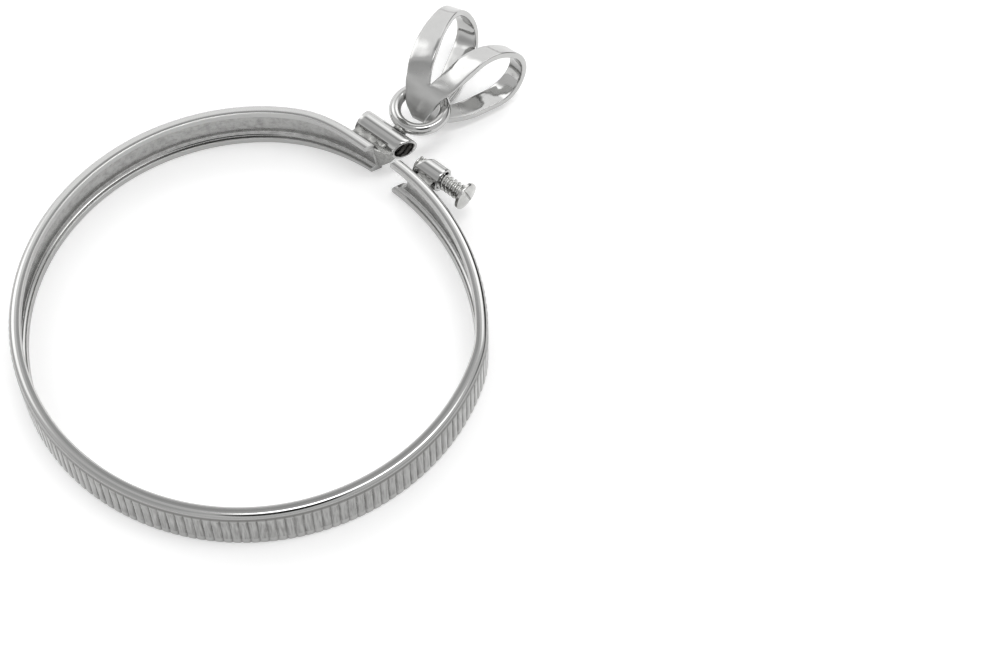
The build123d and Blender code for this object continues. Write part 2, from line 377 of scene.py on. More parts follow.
def reeded_band(tree, given):
    """Sweeps the section along the path, presses in the reeds, slants both ends and cuts the notch."""
    position = add(tree, "GeometryNodeInputPosition")[0]
    reeds = add(tree, "DIVIDE", add(tree, "GeometryNodeInputIndex")[0], given["Points per reed"])[0]
    normal = add(tree, "GeometryNodeInputNormal")[0]
    path = given["Geometry"]
    for label, kind, value in (("reed", "FLOAT", reeds), ("outward", "FLOAT_VECTOR", normal)):
        path = add(tree, "GeometryNodeStoreNamedAttribute", path, Name=label, Value=value,
                   settings={"data_type": kind})[0]
    section = add(tree, "GeometryNodeObjectInfo", given["Section"])["Geometry"]
    across = add(tree, "SeparateXYZ", position)["X"]
    inset = add(tree, "MULTIPLY", across, -1.0)[0]
    outside = add(tree, "LESS_THAN", inset, given["Outside depth"])[0]
    for label, value in (("outside", outside), ("inset", inset)):
        section = add(tree, "GeometryNodeStoreNamedAttribute", section, Name=label, Value=value)[0]
    swept = add(tree, "GeometryNodeCurveToMesh", path, section, Fill_Caps=True)[0]
    reed, outside, inset = [
        add(tree, "GeometryNodeInputNamedAttribute", label)[0] for label in ("reed", "outside", "inset")]
    outward = add(tree, "GeometryNodeInputNamedAttribute", "outward",
                  settings={"data_type": "FLOAT_VECTOR"})[0]
    level = add(tree, "SeparateXYZ", position)["Z"]
    # The grooves are deepest halfway between two reeds and run out at the shoulder's foot
    off_groove = add(tree, "PINGPONG", reed, 0.5)[0]
    off_groove = add(tree, "MULTIPLY", off_groove, given["Pitch"])[0]
    half_pitch = add(tree, "MULTIPLY", given["Pitch"], 0.5)[0]
    off_land = add(tree, "DIVIDE", off_groove, half_pitch)[0]
    off_land = add(tree, "SUBTRACT", 1.0, off_land)[0]
    run_out_end = add(tree, "ADD", given["Groove top"], given["Run out"])[0]
    rolled = add(tree, "MapRange", level, given["Groove top"], run_out_end, 1.0, 0.0, settings=eased)[0]
    rolled = add(tree, "MULTIPLY", outside, rolled)[0]
    bite = add(tree, "MapRange", off_groove, 0.0, given["Groove half width"], 1.0, 0.0, settings=eased)[0]
    bite = add(tree, "MULTIPLY", bite, rolled)[0]
    groove = add(tree, "MULTIPLY", bite, given["Groove depth"])[0]
    crown = add(tree, "MULTIPLY", off_land, off_land)[0]
    crown = add(tree, "MULTIPLY", crown, add(tree, "MULTIPLY", rolled, given["Crown"])[0])[0]
    sink = add(tree, "ADD", groove, crown)[0]
    # The left end's wall leans inwards, the more the higher
    from_left = add(tree, "MULTIPLY", reed, given["Pitch"])[0]
    from_right = add(tree, "SUBTRACT", given["Length"], from_left)[0]
    lean = add(tree, "MapRange", from_left, 0.0, given["Lean reach"], 1.0, 0.0, settings=eased)[0]
    lean = add(tree, "MULTIPLY", lean, given["Lean inward"])[0]
    share_up = add(tree, "DIVIDE", level, given["Height"])[0]
    lean = add(tree, "MULTIPLY", lean, share_up)[0]
    inward = add(tree, "MULTIPLY", add(tree, "ADD", sink, lean)[0], -1.0)[0]
    push = add(tree, "VectorMath SCALE", outward, Scale=inward)[0]
    # Both ends are sawn at a slant
    half_lip = add(tree, "MULTIPLY", given["Lip width"], 0.5)[0]
    skew = add(tree, "SUBTRACT", half_lip, inset)[0]
    skew = add(tree, "MULTIPLY", skew, given["End slant"])[0]
    from_end = add(tree, "MINIMUM", from_left, from_right)[0]
    near_end = add(tree, "MapRange", from_end, 0.0, given["End slant reach"], 1.0, 0.0, settings=eased)[0]
    skew = add(tree, "MULTIPLY", skew, near_end)[0]
    moved = add(tree, "VectorMath ADD", push, add(tree, "CombineXYZ", skew)[0])[0]
    kept = add(tree, "GeometryNodeStoreNamedAttribute", swept, Name="groove", Value=bite)[0]
    reeded = add(tree, "GeometryNodeSetPosition", kept, Offset=moved)[0]
    # The notch at the right end is an oval bite through the wall
    length = add(tree, "MULTIPLY", given["Notch radius"], 6.0)[0]
    cutter = add(tree, "GeometryNodeMeshCylinder", Vertices=96, Radius=1.0, Depth=length)[0]
    oval = add(tree, "CombineXYZ", given["Notch radius"], given["Notch half height"], 1.0)[0]
    cutter = add(tree, "GeometryNodeTransform", cutter, Scale=oval, Translation=given["Notch place"],
                 Rotation=(math.pi / 2, 0, 0))[0]
    return add(tree, "GeometryNodeMeshBoolean DIFFERENCE", reeded, cutter, settings={"solver": "MANIFOLD"})[0]


def settle(piece, crease_degrees, weld=0.0002 * mm):
    """Welds close points, turns the faces outwards, shades them smooth and keeps creases sharp."""
    work = bmesh.new()
    work.from_mesh(piece.data)
    bmesh.ops.remove_doubles(work, verts=work.verts, dist=weld)
    bmesh.ops.dissolve_degenerate(work, edges=work.edges, dist=weld)
    bmesh.ops.recalc_face_normals(work, faces=work.faces)
    work.to_mesh(piece.data)
    work.free()
    piece.data.shade_smooth()
    piece.data.set_sharp_from_angle(angle=math.radians(crease_degrees))


# Each silver has a light and a dark colour, its least and most roughness, the width and height of
# its scratches, and the width of its haze
silvers = {
    "rolled sterling silver": ("#bebebd", "#b8b8b7", 0.07, 0.15, 0.12 * mm, 0.0006 * mm, 3.0 * mm),
    "polished sterling silver": ("#bebebd", "#b8b8b7", 0.06, 0.14, 0.12 * mm, 0.0006 * mm, 3.0 * mm),
    # The tapped bores' dark colours are painted shade
    "tapped sterling silver": ("#6c6b68", "#2c2b29", 0.25, 0.45, 0.07 * mm, 0.004 * mm, 0.5 * mm),
    "hard silver solder": ("#a8a8a6", "#6e6e6c", 0.16, 0.36, 0.14 * mm, 0.016 * mm, 0.35 * mm),
    "turned sterling silver": ("#d2d2d0", "#a0a09e", 0.10, 0.22, 0.12 * mm, 0.012 * mm, 0.4 * mm),
    "polished sheet silver": ("#bebebd", "#b4b4b3", 0.06, 0.13, 0.30 * mm, 0.0015 * mm, 1.2 * mm),
}
haze_range = (0.3, 0.7)


def silver(name):
    """Sterling silver. A haze wanders over it, and fine scratches lie on it in all directions."""
    light, dark, smooth, rough, scratch_width, scratch_height, haze = silvers[name]
    material, tree, shader = new_material(name)
    place = add(tree, "TexCoord")["Object"]
    cloud = add(tree, "TexNoise", Vector=place, Scale=1 / haze, Detail=3.0, Roughness=0.6)["Fac"]
    tint = add(tree, "Mix", cloud, _6=colour(light), _7=colour(dark), settings=rgba)[2]
    gloss = add(tree, "MapRange", cloud, *haze_range, smooth, rough)[0]
    scratches = add(tree, "TexNoise", Vector=place, Scale=1 / scratch_width, Detail=4.0)["Fac"]
    bump = add(tree, "Bump", Height=scratches, Distance=scratch_height, Strength=1.0)[0]
    fill(tree, shader, Base_Color=tint, Metallic=1.0, Roughness=gloss, Normal=bump)
    return material


# Rolled silver is bright on its lips and satin in its channel. The wheel leaves fine streaks up the reeds,
# and tarnish mottles the channel.
# Painted shade with some tarnish darkens the grooves, and painted shade darkens the crease, the outer wall
# and the channel and dims the lips' inner edges
tarnish_and_shade = "#5c5b59"
# Painted shade, with some tarnish, in the grooves between the reeds
groove_shade_and_tarnish = 0.46
# Painted shade along the crease below the rolled edge
crease_painted_shade = 0.62
streak_tarnish = 0.38
blotch_tarnish = 0.34
# Painted shade, even over the outer wall and the channel
wall_painted_shade = 0.22
# Painted shade that dims the highlight on the lips' inner edges
edge_painted_shade = 0.14
satin_roughness = 0.10
groove_roughness = 0.15
edge_roughness = 0.26
streak_width = 0.16 * mm
streak_range = (0.35, 0.65)
streak_stretch = 10.0
blotch_width = 0.55 * mm
blotch_range = (0.42, 0.68)
satin_grain = 0.16 * mm
satin_height = 0.007 * mm
lip_margin = 0.1 * mm
# How far the painted shade reaches either side of the crease
crease_shade_reach = 0.34 * mm
matt_edge_start = lip_width - 0.22 * mm
matt_edge_full = lip_width - 0.08 * mm
rolled_silver = silver("rolled sterling silver")
tree = rolled_silver.node_tree
shader = tree.nodes["Principled BSDF"]
plain_tint, plain_gloss, plain_bump = [shader.inputs[name].links[0].from_socket for name in (
    "Base Color", "Roughness", "Normal")]
groove, outside, inset = [add(tree, "Attribute", settings={"attribute_name": name})["Fac"] for name in (
    "groove", "outside", "inset")]
place = add(tree, "TexCoord")["Object"]
level = add(tree, "SeparateXYZ", place)["Z"]
above_lip = add(tree, "GREATER_THAN", level, lip_thickness + lip_margin)[0]
below_lip = add(tree, "LESS_THAN", level, band_height - lip_thickness - lip_margin)[0]
between_lips = add(tree, "MULTIPLY", above_lip, below_lip)[0]
inside = add(tree, "SUBTRACT", 1.0, outside)[0]
satin = add(tree, "MULTIPLY", between_lips, inside)[0]
drawn = add(tree, "VectorMath MULTIPLY", place, (1.0, 1.0, 1 / streak_stretch))[0]
streak = add(tree, "TexNoise", Vector=drawn, Scale=1 / streak_width, Detail=3.0)["Fac"]
streak = add(tree, "MapRange", streak, *streak_range, 0.0, streak_tarnish)[0]
streak = add(tree, "MULTIPLY", add(tree, "MULTIPLY", streak, outside)[0], between_lips)[0]
# Painted shade, strongest on the crease and fading away from it
off_crease = add(tree, "SUBTRACT", level, band_height - crease_drop)[0]
off_crease = add(tree, "ABSOLUTE", off_crease)[0]
crease = add(tree, "MapRange", off_crease, 0.0, crease_shade_reach, crease_painted_shade, 0.0, settings=eased)[0]
crease = add(tree, "MULTIPLY", crease, outside)[0]
blotch = add(tree, "TexNoise", Vector=place, Scale=1 / blotch_width, Detail=4.0, Roughness=0.7)["Fac"]
blotch = add(tree, "MapRange", blotch, *blotch_range, 0.0, blotch_tarnish)[0]
blotch = add(tree, "MULTIPLY", blotch, satin)[0]
# Painted shade, even over the outer wall and the channel
shaded_walls = add(tree, "ADD", outside, satin)[0]
shaded_walls = add(tree, "MULTIPLY", shaded_walls, wall_painted_shade)[0]
# The lips' inner edges are matt, as the rolls left them, and painted shade dims their highlight
edge = add(tree, "MapRange", inset, matt_edge_start, matt_edge_full, 0.0, 1.0, settings=eased)[0]
# Painted shade and tarnish in the grooves, then the streaks, the painted shade in the crease, the blotches
# and the painted shade on walls and edges
shade = add(tree, "MULTIPLY", groove, groove_shade_and_tarnish)[0]
for part in (streak, crease, blotch, shaded_walls, add(tree, "MULTIPLY", edge, edge_painted_shade)[0]):
    shade = add(tree, "ADD", shade, part)[0]
tarnished_and_shaded = add(tree, "Mix", shade, _6=plain_tint, _7=colour(tarnish_and_shade), settings=rgba)[2]
gloss = plain_gloss
for part, roughness in ((satin, satin_roughness), (groove, groove_roughness), (edge, edge_roughness)):
    gloss = add(tree, "ADD", gloss, add(tree, "MULTIPLY", part, roughness)[0])[0]
grain = add(tree, "TexNoise", Vector=place, Scale=1 / satin_grain, Detail=2.0)["Fac"]
grain = add(tree, "MULTIPLY", grain, satin)[0]
frosted = add(tree, "Bump", Height=grain, Distance=satin_height, Strength=1.0, Normal=plain_bump)[0]
fill(tree, shader, Base_Color=tarnished_and_shaded, Roughness=gloss, Normal=frosted)

arcs = band_arcs()
arc_lengths = [radius * math.radians(stop - start) for _, radius, start, stop in arcs]
band_length = sum(arc_lengths)
section_curve = curve_object("band section", section_outline(), True)
band = grown(curve_object("band path", band_path(), False), "reeded_band", reeded_band, {
    "Section": section_curve, "Material": rolled_silver, "Points per reed": float(points_per_reed),
    "Pitch": reed_pitch, "Groove half width": reed_half_width, "Groove depth": reed_depth,
    "Crown": reed_crown, "Groove top": reed_top, "Run out": reed_run_out, "Outside depth": outside_depth,
    "Lip width": lip_width, "Height": band_height, "Length": band_length,
    "End slant": end_slant, "End slant reach": end_slant_reach,
    "Lean inward": lean_inward, "Lean reach": lean_reach,
    "Notch radius": notch_radius, "Notch half height": notch_half_height,
    "Notch place": (right_end_x + notch_reach - notch_radius, outer_radius, band_height / 2)})
bpy.data.objects.remove(section_curve)
settle(band, 40.0)
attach(band, "root")
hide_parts("bezel_frame")

# Long tube
# A drawn silver tube, tapped inside, soldered to the outside of the band's left end. Its mouth
# is sawn at a slant, so that it closes against the short tube.
long_tube_y = outer_radius + 0.30 * mm
tube_z = 3.0 * mm
tube_radius = 1.17 * mm
tube_bore_radius = 0.88 * mm
tube_slant = math.tan(math.radians(25.0))
tube_edge = 0.06 * mm
tube_edge_round = 0.3 * tube_edge
tube_stations = 72
tube_wall_steps = 12
long_tube_rear_x = -5.9 * mm
long_tube_mouth_x = -0.85 * mm
thread_pitch = 0.45 * mm
thread_depth = 0.20 * mm
tapped_depth = 0.18 * mm
bore_steps_per_turn = 6


def turns(count):
    """Angles at even steps round a circle."""
    return [2 * math.pi * step / count for step in range(count)]


def between(start, end, share):
    """The number that lies a share of the way from start to end."""
    return start + (end - start) * share


def skin(name, sections, joined):
    """A mesh over closed sections of as many points each, joined end to end or capped."""
    count = len(sections[0])
    points = [point for section in sections for point in section]
    faces = []
    for row in range(len(sections) if joined else len(sections) - 1):
        below = row * count
        above = (row + 1) % len(sections) * count
        for place in range(count):
            after = (place + 1) % count
            faces.append((below + place, below + after, above + after, above + place))
    if not joined:
        faces.append(tuple(range(count)))
        faces.append(tuple(range(len(points) - count, len(points))))
    return mesh_object(name, points, faces)


def tube(name, start_x, end_x, y, start_slant, end_slant, bore_steps, threaded):
    """A round tube along X. Its ends slant, and its bore may hold a helical thread."""
    sections = []
    for turn in turns(tube_stations):
        across, up = math.sin(turn), math.cos(turn)

        def spot(gap, share, radius):
            """A point of the outline: its gap to both ends, its share of the way along, its radius."""
            first = start_x + start_slant * across * radius + gap
            last = end_x + end_slant * across * radius - gap
            return between(first, last, share), radius

        wall = [spot(tube_edge, step / tube_wall_steps, tube_radius) for step in range(tube_wall_steps + 1)]
        mouth = [spot(tube_edge_round, 1.0, tube_radius - tube_edge_round),
                 spot(0.0, 1.0, tube_radius - tube_edge), spot(0.0, 1.0, tube_bore_radius + tube_edge)]
        bore = []
        for step in range(bore_steps, -1, -1):
            x, radius = spot(tube_edge, step / bore_steps, tube_bore_radius)
            if threaded:
                phase = (x / thread_pitch + turn / (2 * math.pi)) % 1.0
                radius += tapped_depth * (1 - abs(2 * phase - 1))
            bore.append((x, radius))
        rear = [spot(0.0, 0.0, tube_bore_radius + tube_edge), spot(0.0, 0.0, tube_radius - tube_edge),
                spot(tube_edge_round, 0.0, tube_radius - tube_edge_round)]
        outline = wall + mouth + bore + rear
        sections.append([(x, y + across * radius, tube_z + up * radius) for x, radius in outline])
    piece = skin(name, sections, True)
    piece.data.materials.append(polished_silver)
    piece.data.materials.append(tapped_silver)
    bore_start = len(wall + mouth)
    for face in piece.data.polygons:
        face.material_index = int(bore_start <= face.index % len(outline) < bore_start + bore_steps)
    return piece


# Polished sterling silver mirrors the room, with a soft edge to each reflection
polished_silver = silver("polished sterling silver")
# Both bores are left as they were cut, and painted shade darkens them
tapped_silver = silver("tapped sterling silver")
long_bore_steps = int((long_tube_mouth_x - long_tube_rear_x) / thread_pitch * bore_steps_per_turn)
long_tube = tube("long_tube", long_tube_rear_x, long_tube_mouth_x, long_tube_y, 0.0, tube_slant,
                 long_bore_steps, True)
settle(long_tube, 35.0)
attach(long_tube, "root")

# Short tube
# A plain silver tube, soldered to the outside of the band's right end. The screw passes through
# it.
short_tube_y = outer_radius - 0.05 * mm
short_tube_mouth_x = 1.75 * mm
short_tube_face_x = 4.06 * mm
short_bore_steps = 8
short_tube = tube("short_tube", short_tube_mouth_x, short_tube_face_x, short_tube_y, tube_slant, 0.0,
                  short_bore_steps, False)
settle(short_tube, 35.0)
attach(short_tube, "root")

# Jump ring
# A ring of round silver wire, polished, soldered shut and soldered on to the long tube.
jump_ring_x = -2.5 * mm
jump_ring_y = long_tube_y + 4.1 * mm
jump_ring_z = 3.5 * mm
jump_ring_radius = 2.30 * mm
jump_wire_radius = 0.57 * mm
ring_stations = 96
wire_points = 32
ring_sections = []
wire = [(jump_ring_radius + jump_wire_radius * math.cos(a), jump_ring_z + jump_wire_radius * math.sin(a))
        for a in turns(wire_points)]
for turn in turns(ring_stations):
    ring_sections.append([(jump_ring_x + reach * math.cos(turn), jump_ring_y + reach * math.sin(turn), z)
                          for reach, z in wire])
jump_ring = skin("jump_ring", ring_sections, True)
settle(jump_ring, 60.0)
jump_ring.data.materials.append(polished_silver)
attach(jump_ring, "root")

# Solder
# Hard silver solder has run along both tubes, down to the band, and up round the jump ring. It
# cooled with a soft, slightly uneven skin.
solder_inset = 0.3 * mm
long_seam_start_x = long_tube_rear_x + solder_inset
short_seam_start_x = short_tube_mouth_x + solder_inset
seam_half_height = 0.85 * mm
seam_tail = 0.7 * mm
seam_bite = 0.12 * mm
seam_hollow = 0.05 * mm
seam_grip = math.radians(35.0)
seam_hold = 0.97 * tube_radius
seam_pull = 0.55
seam_steps = 8
long_seam_reach = seam_half_height + 0.25 * mm
long_seam_steps = 30
long_seam_waves = ((0.06 * mm, 5.3 * math.pi, 0.0), (0.04 * mm, 13.1, 1.0))
short_seam_reach = seam_half_height + 0.10 * mm
short_seam_steps = 16
short_seam_waves = ((0.05 * mm, 4.1 * math.pi, 0.7),)
web_start_x = left_end_x - 0.30 * mm
web_end_x = -1.42 * mm
web_foot = 0.20 * mm
web_head = band_height - 0.55 * mm
web_hold = 0.985 * tube_radius
web_top = (28.0, 18.0)
web_bottom = (-42.0, -60.0)
web_thickness = 0.30 * mm
web_overlap = 0.15 * mm
web_root_hollow = 0.16 * mm
web_side_hollow = 0.10 * mm
web_under_pull = 0.35 * mm
web_flare = 0.02 * mm
web_steps = 20
web_arc_steps = 8
web_wall_steps = 10
web_under_steps = 6
web_over_steps = 4
lug_root = 0.9 * mm
lug_waist = 0.95
lug_flare = 0.55
lug_width_per_height = 1.25
lug_steps = 12
lug_points = 24


def wall_y(x):
    """How far out the band's outer wall stands at x, near its split."""
    centre, radius, _, _ = arcs[0] if x < 0 else arcs[3]
    return centre[1] + math.sqrt(radius ** 2 - (x - centre[0]) ** 2)


def wall_lean(x, z):
    """How far the band's left end leans inwards at x and z."""
    centre, radius, start, _ = arcs[0]
    turn = math.radians(start) - math.acos(max(-1.0, min(1.0, (x - centre[0]) / radius)))
    along = min(1.0, abs(turn) * radius / lean_reach) if x < 0 else 1.0
    return lean_inward * (1 - along * along * (3 - 2 * along)) * z / band_height


def curved(start, pull, end, steps):
    """Points from start to end on a curve that bends towards pull."""
    return [start * (1 - t) ** 2 + pull * 2 * t * (1 - t) + end * t ** 2
            for t in (step / steps for step in range(steps + 1))]


def seam(name, tube_y, stations):
    """Solder with hollow sides between the wall and a tube. Each station is x and how far up and
    down it reaches at the wall."""
    sections = []
    for x, reach in stations:
        section = []
        for side in (1, -1):
            far = Vector((tube_y - math.cos(seam_grip) * seam_hold, side * math.sin(seam_grip) * seam_hold))
            wall = wall_y(x) - wall_lean(x, tube_z + side * reach)
            near = Vector((wall - seam_bite, side * reach))
            pull = Vector((wall + seam_hollow, side * reach * seam_pull))
            section += curved(near, pull, far, seam_steps)[::side]
        sections.append([(x, y, tube_z + z) for y, z in section])
    return skin(name, sections, False)


def stations(start_x, end_x, reach, steps, waves):
    """Stations of a seam: x and its reach, which swells in waves of a height, a turn and a start."""
    listed = []
    for step in range(steps + 1):
        share = step / steps
        swell = sum(height * math.sin(turn * share + start) for height, turn, start in waves)
        listed.append((between(start_x, end_x, share), reach + swell))
    return listed


long_stations = stations(long_seam_start_x, left_end_x + seam_tail, long_seam_reach, long_seam_steps,
                         long_seam_waves)
# Past the band's end the long seam tapers off
long_stations = [(x, reach - seam_tail * max(0.0, (x - left_end_x) / seam_tail) ** 2)
                 for x, reach in long_stations]
short_stations = stations(short_seam_start_x, short_tube_face_x - solder_inset, short_seam_reach,
                          short_seam_steps, short_seam_waves)
# A web of solder runs on from the band's left end, up under the tube to the rim of its mouth. The
# notch in the right end takes it when the screw closes the band
web_sections = []
for step in range(web_steps + 1):
    share = step / web_steps
    top, bottom = [math.radians(between(*degrees, share)) for degrees in (web_top, web_bottom)]
    arc = [Vector((long_tube_y - web_hold * math.cos(a), tube_z + web_hold * math.sin(a)))
           for a in (between(top, bottom, i / web_arc_steps) for i in range(web_arc_steps + 1))]
    low = between(web_foot, arc[-1][1], share ** 1.3)
    high = between(web_head, arc[0][1], share ** 0.8)
    wall = wall_y(left_end_x) - web_thickness
    spread = (long_tube_y - web_hold - wall + web_overlap) * share
    hollow = web_root_hollow * (1 - share) + web_side_hollow * math.sin(math.pi * share)
    near = [Vector((wall - wall_lean(left_end_x, z) + spread - hollow, z))
            for z in (between(low, high, i / web_wall_steps) for i in range(web_wall_steps + 1))]
    pull = Vector((near[0][0] + web_under_pull, (arc[-1][1] + low) / 2))
    under = curved(arc[-1], pull, near[0] + Vector((web_thickness, -web_flare)), web_under_steps)[1:]
    over_start = near[-1] + Vector((web_thickness, web_flare))
    over = [over_start.lerp(arc[0], i / web_over_steps) for i in range(web_over_steps)]
    x = between(web_start_x, web_end_x, share)
    web_sections.append([(x, y, z) for y, z in arc + under + near + over])
lug_sections = []
for step in range(lug_steps + 1):
    share = step / lug_steps
    y = between(long_tube_y + lug_root, jump_ring_y - jump_ring_radius, share)
    z = between(tube_z, jump_ring_z, share)
    girth = jump_wire_radius * (lug_waist + lug_flare * (2 * share - 1) ** 2)
    lug_sections.append([
        (jump_ring_x + girth * lug_width_per_height * math.cos(a), y, z + girth * math.sin(a))
        for a in turns(lug_points)])
# Hard solder is a duller, greyer silver, frosted where the flux bubbled
solder_silver = silver("hard silver solder")
for solder in (seam("long_tube_solder", long_tube_y, long_stations),
               seam("short_tube_solder", short_tube_y, short_stations),
               skin("left_end_solder", web_sections, False), skin("jump_ring_solder", lug_sections, False)):
    settle(solder, 50.0)
    solder.data.materials.append(solder_silver)
    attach(solder, "root")

# Screw
# The closing screw is turned from silver rod: a shaft with a rolled thread, and a low domed head
# with a sawn slot.
screw_tip_x = 1.0 * mm
screw_tip_round = 0.1 * mm
screw_seat_x = 6.5 * mm
screw_overlap = 0.12 * mm
screw_crest = tube_bore_radius - 0.08 * mm
screw_core = 0.9 * screw_crest
screw_tip_radius = 0.80 * screw_crest
screw_points = 72
shaft_steps_per_turn = 10
thread_flank = (0.12, 0.85)
axis_hole = 0.02
head_radius = 1.34 * mm
head_rim = 0.32 * mm
head_dome = 0.26 * mm
head_edge = 0.05 * mm
head_bevel = 0.03 * mm
dome_inset = 0.04 * mm
dome_steps = 16
slot_width = 0.36 * mm
slot_depth = 0.32 * mm
slot_turn = math.radians(18.0)


def threaded_shaft(tree, given):
    """Cuts a helical thread into a shaft that runs along X."""
    position = add(tree, "GeometryNodeInputPosition")[0]
    local = add(tree, "VectorMath SUBTRACT", position, given["Axis"])[0]
    split = add(tree, "SeparateXYZ", local)
    turn = add(tree, "ARCTAN2", split["Y"], split["Z"])[0]
    turn = add(tree, "DIVIDE", turn, 2 * math.pi)[0]
    x = add(tree, "SeparateXYZ", position)["X"]
    phase = add(tree, "DIVIDE", x, given["Pitch"])[0]
    phase = add(tree, "ADD", phase, turn)[0]
    ridge = add(tree, "PINGPONG", phase, 0.5)[0]
    ridge = add(tree, "MULTIPLY", ridge, 2.0)[0]
    groove = add(tree, "MapRange", ridge, *thread_flank, 1.0, 0.0, settings=eased)[0]
    # The thread runs out over one pitch at both ends
    first = add(tree, "ADD", given["Start"], given["Pitch"])[0]
    last = add(tree, "SUBTRACT", given["End"], given["Pitch"])[0]
    from_start = add(tree, "MapRange", x, given["Start"], first, 0.0, 1.0)[0]
    from_end = add(tree, "MapRange", x, given["End"], last, 0.0, 1.0)[0]
    depth = add(tree, "MULTIPLY", groove, given["Depth"])[0]
    depth = add(tree, "MULTIPLY", depth, add(tree, "MULTIPLY", from_start, from_end)[0])[0]
    spoke = add(tree, "VectorMath MULTIPLY", local, (0.0, 1.0, 1.0))[0]
    radius = add(tree, "VectorMath LENGTH", spoke)["Value"]
    outer = add(tree, "GREATER_THAN", radius, given["Core"])[0]
    inward = add(tree, "MULTIPLY", add(tree, "MULTIPLY", depth, outer)[0], -1.0)[0]
    spoke = add(tree, "VectorMath NORMALIZE", spoke)[0]
    push = add(tree, "VectorMath SCALE", spoke, Scale=inward)[0]
    return add(tree, "GeometryNodeSetPosition", given["Geometry"], Offset=push)[0]


def turned(name, outline):
    """A piece turned on a lathe about the screw's axis, from an outline of x and radius."""
    sections = []
    for x, radius in outline:
        sections.append([(x, short_tube_y + radius * math.sin(a), tube_z + radius * math.cos(a))
                         for a in turns(screw_points)])
    return skin(name, sections, False)


# Turned sterling silver, lightly polished, so its reflections are softer than the band's
screw_silver = silver("turned sterling silver")
shaft_length = screw_seat_x - screw_tip_x
shaft_steps = int(shaft_length / thread_pitch * shaft_steps_per_turn)
shaft_outline = [(screw_tip_x, axis_hole * screw_crest), (screw_tip_x, screw_tip_radius)]
for step in range(shaft_steps + 1):
    shaft_outline.append((screw_tip_x + screw_tip_round + shaft_length * step / shaft_steps, screw_crest))
shaft_outline.append((screw_seat_x + screw_overlap, axis_hole * screw_crest))
shaft = grown(turned("screw blank", shaft_outline), "screw_shaft", threaded_shaft, {
    "Material": screw_silver, "Pitch": thread_pitch, "Depth": thread_depth, "Start": screw_tip_x,
    "End": screw_seat_x, "Axis": (0.0, short_tube_y, tube_z), "Core": screw_core})
dome_radius = (head_radius ** 2 + head_dome ** 2) / (2 * head_dome)
dome_lean = math.asin((head_radius - dome_inset) / dome_radius)
head_top_x = screw_seat_x + head_rim + head_dome
head_outline = [(screw_seat_x, axis_hole * head_radius), (screw_seat_x, head_radius - head_edge),
                (screw_seat_x + head_edge, head_radius), (screw_seat_x + head_rim - head_edge, head_radius)]
for step in range(dome_steps + 1):
    lean = dome_lean * (1 - step / dome_steps)
    head_outline.append((head_top_x - dome_radius * (1 - math.cos(lean)),
                         max(dome_radius * math.sin(lean), axis_hole * head_radius)))
head = turned("screw_head", head_outline)
settle(head, 40.0)
bpy.ops.mesh.primitive_cube_add(size=1.0)
saw = bpy.context.object
saw.matrix_world = (
    Matrix.Translation((head_top_x, short_tube_y, tube_z)) @ Matrix.Rotation(slot_turn, 4, "X")
    @ Matrix.Diagonal((2 * slot_depth, slot_width, 4 * head_radius, 1.0)))
slot_cut = head.modifiers.new("slot", "BOOLEAN")
slot_cut.object = saw
slot_cut.operation = "DIFFERENCE"
slot_cut.solver = "MANIFOLD"
soften = head.modifiers.new("edges", "BEVEL")
soften.width = head_bevel
soften.segments = 2
soften.limit_method = "ANGLE"
soften.angle_limit = math.radians(50.0)
graph = bpy.context.evaluated_depsgraph_get()
head.data = bpy.data.meshes.new_from_object(head.evaluated_get(graph))
head.modifiers.clear()
bpy.data.objects.remove(saw)
head.data.materials.clear()
head.data.materials.append(screw_silver)
for face in head.data.polygons:
    face.material_index = 0
for part in (shaft, head):
    settle(part, 40.0)
    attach(part, "screw")
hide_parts("screw")

# Bail
# Rabbit ears cut as a V from silver sheet. Each ear is bent over and brought back down to the
# tip, where both hang on the jump ring.
bail_tip = Vector((-2.20 * mm, jump_ring_y - 0.30 * mm, 2.48 * mm))
ear_length = 10.2 * mm
ear_reach = 1.2 * mm
ear_stations = 150
bend_steps = 24
bend_share = 0.48
front_bend_share = 0.30
left_ear_shares = [(0, 0), (0.44, 0.15), (0.80, -0.05), (1.065, -0.45), (0.83, -0.89), (0.17, -0.42)]
right_ear_shares = [(0, 0), (0.22, 0.10), (0.86, 0.095), (1.075, -0.335), (0.725, -0.59), (0.22, -0.305)]
left_ear_angles = (121.7, 38.0, 20.2, 10.6)
right_ear_angles = (74.5, 27.4, 8.3, -14.8)
strip_thickness = 0.56 * mm
strip_edge = 0.09 * mm
strip_width = 2.4 * mm
strip_tip_width = 1.5 * mm
strip_crown_width = 1.5 * mm
strip_widths = [(-ear_reach, strip_tip_width), (0, strip_tip_width), (ear_length / 3, strip_width),
                (2 * ear_length / 3, strip_width), (ear_length + ear_reach, strip_crown_width)]
tip_rounding = 0.17 * mm
tip_thinning = 0.26 * mm
thinned_stations = 9
left_tip_spread = 1.85
right_tip_spread = 0.60
tip_spread_reach = 4.2 * mm
left_tip_pinch = 0.75
right_tip_pinch = 0.0
tip_pinch_reach = 1.3 * mm
fold_turn = math.radians((left_ear_angles[0] + right_ear_angles[0]) / 2)
fold_reach = 3.2 * mm
fade_stations = 12
corner_angles = (0, 0.52, 1.05, math.pi / 2)
flat_steps = 8
side_points = 2 * len(corner_angles) + flat_steps - 1


def eased_share(share):
    """A share from 0 to 1 that starts and ends gently."""
    return share * share * (3 - 2 * share)


